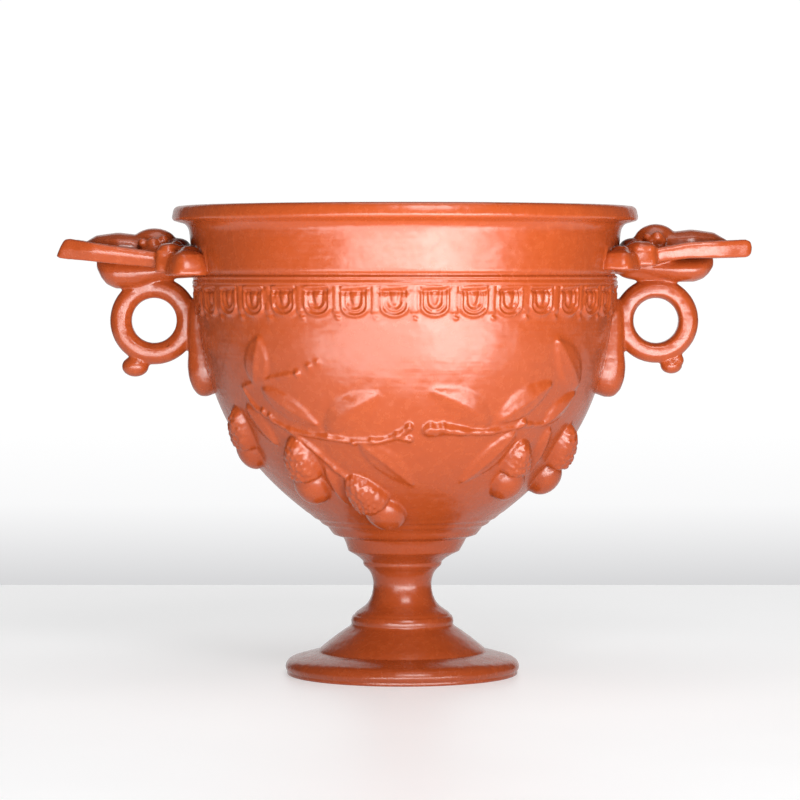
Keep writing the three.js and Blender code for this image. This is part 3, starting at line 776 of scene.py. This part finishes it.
def outward_body(stations):
    """Sections square to X. A station is (out, middle side, middle height, section points, lean)."""
    sections = []
    for out, side, up, section, lean in stations:
        sections.append(np.stack([out - lean * section[:, 1], side + section[:, 0], up + section[:, 1]], 1))
    return loft(sections)


def cushion(form):
    """Plump form below the leaf plate: narrow at the neck, thick and round at its outer end."""
    shares = np.linspace(0, 1, 22)
    size = np.interp(shares, [0, 0.25, 0.6, 0.82, 0.93, 1], [0.5, 0.58, 0.98, 1.0, 0.8, 0.3])
    stations = []
    for share, scale in zip(shares, size):
        half_height = form["cushion_height"] * scale + 0.5
        middle_z = PLATE_Z - 1.4 - half_height * 0.95 + 0.8 * share
        section = superoval(0.5 * CUSHION_WIDTH * scale, half_height)
        stations.append((NECK_RADIUS - 2 + share * CUSHION_LENGTH, 0, middle_z, section, 0))
    return outward_body(stations)


def blade(side, form):
    """Long outer leaf of the plate. Its outer face has an upright upper facet over one that leans in."""
    stations = []
    for share in np.concatenate([np.linspace(0.06, 0.9, 22), np.linspace(0.92, 1, 10)]):
        root = smooth_step(0.3, 0.05, share)
        tip = smooth_step(0.7, 1.0, share)
        very_tip = 1 - math.sqrt(1 - float(np.clip((share - 0.94) / 0.06, 0, 1)) ** 2)
        deep = np.interp(share, BLADE_STOPS, form["blade_depth"]) * (1 - form["tip_round"] * very_tip)
        low, top = -0.5 * deep, 0.5 * deep
        ridge = low + form["ridge"] * deep
        notch = form["groove"]
        edge = BLADE_HALF_WIDTH - 0.9 * root - 2.4 * tip - 0.9 * very_tip
        inner = -8.5 + 6.3 * share
        section = closed_section([
            (inner, low + 1.2), (edge - 1.2 - 0.4 * notch, low), (edge - 0.2 - notch, low + 0.3),
            (edge - 0.1 - notch, low + 1.0), (edge, ridge), (edge - 0.1, top - 0.6), (edge - 0.4, top - 0.15),
            (edge - 1.1, top), (0.2 * (edge + inner), top - 0.5), (inner, top - 0.4)], 40)
        section[:, 0] *= side
        middle_y = side * BLADE_SPREAD + 0.6 * side * math.sin(math.pi * share)
        middle_z = np.interp(share, BLADE_STOPS, form["blade_z"])
        stations.append((NECK_RADIUS + share * form["blade_reach"], middle_y, middle_z,
                         section if side > 0 else section[::-1], form["tip_lean"] * tip))
    return outward_body(stations)


def middle_leaf(form):
    """Arched leaf on top of the plate."""
    shares = np.linspace(0.3, 1, 20)
    stations = []
    for share in shares:
        size = float(np.interp(share, [0.3, 0.45, 0.65, 0.85, 1], [0.55, 0.9, 1.0, 0.75, 0.2]))
        rise = float(np.interp(share, [0.3, 0.65, 0.85, 1], [0.4, 1.3, 0.9, -0.8]))
        half = MIDDLE_LEAF_HALF_WIDTH * size
        section = closed_section([
            (-half, -2.8 * size), (0, -4.2 * size), (half, -2.8 * size), (half - 0.2, -0.5 * size),
            (0.55 * half, 0.9 * size), (0.8, 1.5 * size), (-0.8, 1.5 * size), (-0.55 * half, 0.9 * size),
            (-half + 0.2, -0.5 * size)], 34)
        stations.append((NECK_RADIUS + share * MIDDLE_LEAF_REACH, 0, form["leaf_z"] + rise, section, 0))
    return outward_body(stations)


def teardrop(outline, form):
    """Long drop on the wall behind the ring, broad and round at its lower end."""
    angles = full_turn(24)
    full = np.abs(np.sin(angles)) ** 0.8
    spread = signed_power(np.cos(angles), 0.6)
    sections = []
    for share in np.concatenate([np.linspace(0, 0.85, 20), np.linspace(0.88, 1, 7)]):
        z = DROP_TOP_Z + (DROP_LOW_Z - DROP_TOP_Z) * share
        radius, step = wall_at(outline, z)
        size = float(np.interp(share, [0, 0.2, 0.5, 0.66, 0.78, 0.88, 0.95, 0.985, 1],
                               [0.12, 0.27, 0.52, 0.86, 1.0, 0.95, 0.75, 0.5, 0.25]))
        width = float(np.interp(share, [0, 0.12, 0.5, 0.75, 0.88, 0.95, 0.985, 1],
                                [0.45, 0.8, 0.94, 1.0, 0.93, 0.72, 0.48, 0.25]))
        proud = form["drop_proud"] * size ** 0.6
        lift = np.where(np.sin(angles) > 0, full * proud, -full * DROP_ROOT)
        across = DROP_HALF_WIDTH * width * spread
        sections.append(np.stack([radius + lift * step[1], across, z - lift * step[0]], 1))
    return loft(sections)


# The two handles differ a little, as hand-finished ones do. A lump is its centre and its half sizes.
HANDLE_FORMS = {
    "handle_left": dict(
        side=-1, ring_radius=RING_RADIUS, flat=(7.4, 9.7), drop_proud=5.2, cushion_height=3.6,
        blade_reach=32.7, blade_depth=(3.8, 4.2, 4.65, 5.3), blade_z=(106.3, 107.3, 108.15, 110.2),
        tip_round=0.3, tip_lean=0.5, ridge=0.5, groove=0.8, leaf_z=111.5, mound_height=3.9,
        balls=[((69.9, 0, 79.6), (3.5, 3.1, 2.7))],
        bridge=((67, 0, 102.8), (5.0, 2.6, 1.5)),
        arm=((NECK_RADIUS - 0.4, 18.4, 106.4), (5.2, 6.8, 3.3)),
        rolls=[((60.7, 12.8, 107.4), (3.0, 5.0, 3.4))],
        caps=[((60.2, 12.6, 110.3), (2.8, 4.6, 1.2)), ((60.6, 10.8, 110.0), (3.0, 3.6, 1.5))],
        berries=[((64.8, 7.4, 111.2), 1.75), ((67.6, 6.8, 111.6), 1.2), ((62.2, 6.6, 112.2), 1.4)]),
    "handle_right": dict(
        side=1, ring_radius=RING_RADIUS - 0.4, flat=(6.8, 9.4), drop_proud=6.1, cushion_height=2.7,
        blade_reach=33.1, blade_depth=(3.3, 3.8, 4.3, 4.8), blade_z=(107.0, 108.4, 109.6, 110.1),
        tip_round=0.7, tip_lean=0.0, ridge=0.7, groove=0.1, leaf_z=112.3, mound_height=5.0,
        balls=[((69.0, 0, 79.8), (2.8, 2.8, 2.1)), ((70.7, 0, 81.2), (1.6, 2.2, 1.7))],
        bridge=((66, 0, 103.5), (10.5, 3.2, 2.0)),
        arm=((NECK_RADIUS - 1.0, 18.0, 107.2), (4.4, 6.4, 2.7)),
        rolls=[((60.6, 12.4, 108.7), (3.7, 5.0, 3.1))],
        caps=[((60.2, 12.6, 110.5), (3.4, 4.0, 1.4))],
        berries=[((64.9, 7.2, 113.0), 1.6), ((66.3, 6.8, 112.0), 1.1), ((63.4, 6.9, 111.9), 1.2),
                 ((62.4, 6.0, 113.0), 1.2)]),
}


def handle_bodies(outline, form):
    """All parts of one handle, as it stands at +X."""
    def by_neck(out, side, up):
        return NECK_RADIUS + out, side, PLATE_Z + up

    bodies = [
        finger_ring(form),
        cushion(form),
        middle_leaf(form),
        teardrop(outline, form),
        lump(*form["bridge"]),
        lump(by_neck(5.5, 0, 0.2), (9.5, 12.6, 2.9)),
        lump(by_neck(9.2, 0, 3.0), (5.9, 5.4, form["mound_height"])),
        lump(by_neck(3.4, 0, 2.2), (3.6, 6.0, 2.2)),
    ]
    bodies += [lump(centre, half) for centre, half in form["balls"]]
    arm_centre, arm_half = form["arm"]
    for side in (-1, 1):
        def mirrored(centre):
            return centre[0], side * centre[1], centre[2]

        bodies += [
            blade(side, form),
            wedge(mirrored(arm_centre), arm_half, side * ARM_TURN),
            lump(by_neck(-0.9, side * 16.2, 1.0), (2.4, 3.0, 1.2), side * PAD_TURN),
            lump(by_neck(3.0, side * 8.6, 2.0), (1.9, 2.2, 1.6)),
            lump(by_neck(1.2, side * 12.0, 1.0), (1.9, 2.6, 1.4)),
        ]
        bodies += [wedge(mirrored(centre), half, side * ROLL_TURN, 0.8) for centre, half in form["rolls"]]
        bodies += [lump(mirrored(centre), half, side * ROLL_TURN) for centre, half in form["caps"]]
        bodies += [lump(mirrored(centre), (radius, radius * 1.1, radius))
                   for centre, radius in form["berries"]]
    return bodies


# Blender objects

def new_object(name, points, faces):
    mesh = bpy.data.meshes.new(name)
    polygons = [tuple(int(k) for k in face) for face in faces]
    mesh.from_pydata((np.asarray(points) * MM).tolist(), [], polygons)
    mesh.update()
    piece = bpy.data.objects.new(name, mesh)
    bpy.context.scene.collection.objects.link(piece)
    return piece


def apply_modifier(piece, kind, **settings):
    modifier = piece.modifiers.new(kind.lower(), kind)
    for name, value in settings.items():
        setattr(modifier, name, value)
    depsgraph = bpy.context.evaluated_depsgraph_get()
    mesh = bpy.data.meshes.new_from_object(piece.evaluated_get(depsgraph))
    old = piece.data
    piece.modifiers.clear()
    piece.data = mesh
    bpy.data.meshes.remove(old)


def handle_object(name, outline, form):
    """The handle at +X for side 1, or turned half round for side -1, melted together like modelled clay."""
    points, faces, first = [], [], 0
    for body_points, body_faces in handle_bodies(outline, form):
        points.append(body_points)
        faces += [tuple(first + k for k in face) for face in body_faces]
        first += len(body_points)
    points = np.vstack(points)
    points[:, :2] *= form["side"]
    piece = new_object(name, points, faces)
    apply_modifier(piece, "REMESH", mode="VOXEL", voxel_size=HANDLE_VOXEL * MM, adaptivity=0)
    apply_modifier(piece, "SMOOTH", factor=0.5, iterations=2)
    triangles = sum(len(face.vertices) - 2 for face in piece.data.polygons)
    apply_modifier(piece, "DECIMATE", ratio=min(1, HANDLE_TRIANGLES / triangles))
    return piece


def make_cup():
    shell = cup_shell()
    cup = new_object("cup_body", shell.points, shell.faces)
    outline = bowl_outline()
    for name, form in HANDLE_FORMS.items():
        handle = handle_object(name, outline, form)
        apply_modifier(cup, "BOOLEAN", operation="UNION", solver="MANIFOLD", object=handle)
        bpy.data.objects.remove(handle)
    for face in cup.data.polygons:
        face.use_smooth = True
    return cup


# Materials

# Colours are given with their places on a ramp
SLIP_COLOURS = [
    (0.34, (0.286, 0.0455, 0.0088)),
    (0.5, (0.302, 0.0505, 0.0102)),
    (0.66, (0.314, 0.0545, 0.0115)),
]
SLIP_ROUGHNESS = (0.22, 0.3)
SLIP_IOR = 1.52
TABLE_SURFACE = {"Roughness": 0.4, "IOR": 1.2, "Emission Color": (1, 1, 1, 1), "Emission Strength": 0.43}
TABLE_GREYS = [(0.3, (0.51, 0.51, 0.515)), (0.7, (0.53, 0.53, 0.535))]
# The backdrop glows white, with painted shade that greys it towards the table's edge
BACKDROP_GLOW_AND_SHADE = [(0.0, (0.69, 0.69, 0.70)), (0.45, (0.95, 0.95, 0.955)), (1.0, (1.02, 1.02, 1.02))]
BACKDROP_FADE_Z = (-0.056, 0.034)


def new_material(name):
    material = bpy.data.materials.new(name)
    material.use_nodes = True
    tree = material.node_tree
    shader = tree.nodes["Principled BSDF"]
    return material, tree, shader


def node(tree, kind, inputs=None, **settings):
    made = tree.nodes.new(kind)
    for name, value in settings.items():
        setattr(made, name, value)
    for name, value in (inputs or {}).items():
        if isinstance(value, bpy.types.NodeSocket):
            tree.links.new(value, made.inputs[name])
        else:
            made.inputs[name].default_value = value
    return made


def map_range(tree, value, old, new=(0.0, 1.0)):
    return node(tree, "ShaderNodeMapRange", {"Value": value, "From Min": old[0], "From Max": old[1],
                                             "To Min": new[0], "To Max": new[1]}).outputs["Result"]


def ramp(tree, factor, stops):
    made = node(tree, "ShaderNodeValToRGB", {"Fac": factor})
    while len(made.color_ramp.elements) < len(stops):
        made.color_ramp.elements.new(0.5)
    for element, (place, colour) in zip(made.color_ramp.elements, stops):
        element.position = place
        element.color = (*colour, 1)
    return made.outputs["Color"]


def slip_material():
    """Red gloss slip: slightly clouded colour, faint turning lines, pits and soft dents."""
    material, tree, shader = new_material("red_slip")
    place = node(tree, "ShaderNodeTexCoord").outputs["Object"]

    def noise(scale, detail, stretch=(1, 1, 1), roughness=0.5):
        mapped = node(tree, "ShaderNodeMapping", {"Vector": place, "Scale": stretch}).outputs["Vector"]
        return node(tree, "ShaderNodeTexNoise", {"Vector": mapped, "Scale": scale / MM, "Detail": detail,
                                                 "Roughness": roughness}).outputs["Fac"]

    cloud = noise(0.03, 3)
    grain = noise(0.55, 4)
    faint = node(tree, "ShaderNodeMath", {0: grain, 1: 0.25}, operation="MULTIPLY").outputs[0]
    mixed = node(tree, "ShaderNodeMath", {0: cloud, 1: grain, 2: faint}, operation="MULTIPLY_ADD").outputs[0]
    tree.links.new(ramp(tree, mixed, SLIP_COLOURS), shader.inputs["Base Color"])
    tree.links.new(map_range(tree, grain, (0.3, 0.7), SLIP_ROUGHNESS), shader.inputs["Roughness"])
    shader.inputs["IOR"].default_value = SLIP_IOR

    turning = noise(0.9, 3, (0.04, 0.04, 1))
    dents = noise(0.16, 2)
    specks = node(tree, "ShaderNodeTexVoronoi", {"Vector": place, "Scale": 0.33 / MM}).outputs["Distance"]
    pits = map_range(tree, specks, (0.0, 0.09), (-1.0, 0.0))
    surface = None
    for height, depth in ((dents, 0.3), (turning, 0.04), (grain, 0.03), (pits, 0.025)):
        bump = node(tree, "ShaderNodeBump", {"Height": height, "Distance": depth * MM, "Strength": 1.0})
        if surface is not None:
            tree.links.new(surface, bump.inputs["Normal"])
        surface = bump.outputs["Normal"]
    tree.links.new(surface, shader.inputs["Normal"])
    return material


def table_material():
    """Pale table that glows a little, so that it looks evenly lit."""
    material, tree, shader = new_material("pale_table")
    place = node(tree, "ShaderNodeTexCoord").outputs["Object"]
    grain = node(tree, "ShaderNodeTexNoise", {"Vector": place, "Scale": 30.0, "Detail": 3.0}).outputs["Fac"]
    tree.links.new(ramp(tree, grain, TABLE_GREYS), shader.inputs["Base Color"])
    for name, value in TABLE_SURFACE.items():
        shader.inputs[name].default_value = value
    return material


def backdrop_material():
    """White glowing wall with painted shade, which fades it to pale grey below the table's edge."""
    material, tree, shader = new_material("white_backdrop")
    tree.nodes.remove(shader)
    place = node(tree, "ShaderNodeTexCoord").outputs["Object"]
    height = node(tree, "ShaderNodeSeparateXYZ", {"Vector": place}).outputs["Z"]
    colour = ramp(tree, map_range(tree, height, BACKDROP_FADE_Z), BACKDROP_GLOW_AND_SHADE)
    glow = node(tree, "ShaderNodeEmission", {"Color": colour, "Strength": 1.0}).outputs["Emission"]
    tree.links.new(glow, tree.nodes["Material Output"].inputs["Surface"])
    return material


# Studio

# A sheet's first and last edge are given by their y and z
TABLE = dict(half_width=420, first=(-300, 0), last=(256, 0))
BACKDROP = dict(half_width=520, first=(900, -300), last=(900, 700))
WORLD_STRENGTH = 0.1

# Lights: place, the point they face, width and height, and power in watts
LIGHTS = {
    "front_low": ((0, -508, 2), (0, -508, 100), (500, 690), 6.2),
    "front_right": ((165, -500, 4), (165, -500, 100), (220, 620), 2.4),
    "front_wall": ((105, -600, 46), (0, 0, 46), (1060, 92), 4.3),
    "window": ((130, -600, 520), (0, 0, 80), (280, 250), 2.6),
    "top": ((60, -60, 900), (0, 0, 60), (600, 600), 2.3),
}

# The camera looks level from the front, and its shift brings the whole cup into the picture
CAMERA_X = -1.3
CAMERA_Y = -893
CAMERA_Z = 102.8
CAMERA_LENS = 155
CAMERA_SENSOR = 36
CAMERA_SHIFT_Y = -0.154


def sheet(name, material, half_width, first, last):
    corners = [(-half_width, *first), (half_width, *first), (half_width, *last), (-half_width, *last)]
    piece = new_object(name, corners, [(0, 1, 2, 3)])
    piece.data.materials.append(material)


def face_point(piece, place, target):
    piece.location = Vector(place) * MM
    piece.rotation_euler = (Vector(target) - Vector(place)).to_track_quat("-Z", "Y").to_euler()
    bpy.context.scene.collection.objects.link(piece)


def area_light(name, place, target, size, power):
    light = bpy.data.lights.new(name, "AREA")
    light.shape = "RECTANGLE"
    light.size, light.size_y = size[0] * MM, size[1] * MM
    light.energy = power
    piece = bpy.data.objects.new(name, light)
    piece.visible_camera = False
    face_point(piece, place, target)


def studio():
    sheet("table", table_material(), **TABLE)
    sheet("backdrop", backdrop_material(), **BACKDROP)
    world = bpy.data.worlds.new("studio")
    world.use_nodes = True
    background = world.node_tree.nodes["Background"]
    background.inputs["Color"].default_value = (1, 1, 1, 1)
    background.inputs["Strength"].default_value = WORLD_STRENGTH
    bpy.context.scene.world = world
    for name, settings in LIGHTS.items():
        area_light(name, *settings)


def camera():
    lens = bpy.data.cameras.new("camera")
    lens.lens = CAMERA_LENS
    lens.sensor_width = CAMERA_SENSOR
    lens.shift_y = CAMERA_SHIFT_Y
    lens.clip_end = 50
    piece = bpy.data.objects.new("camera", lens)
    face_point(piece, (CAMERA_X, CAMERA_Y, CAMERA_Z), (CAMERA_X, 0, CAMERA_Z))
    bpy.context.scene.camera = piece


camera()
cup = make_cup()
cup.data.materials.clear()
cup.data.materials.append(slip_material())
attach(cup, "root")
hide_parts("cup")
studio()
bpy.context.scene.view_settings.view_transform = "Standard"
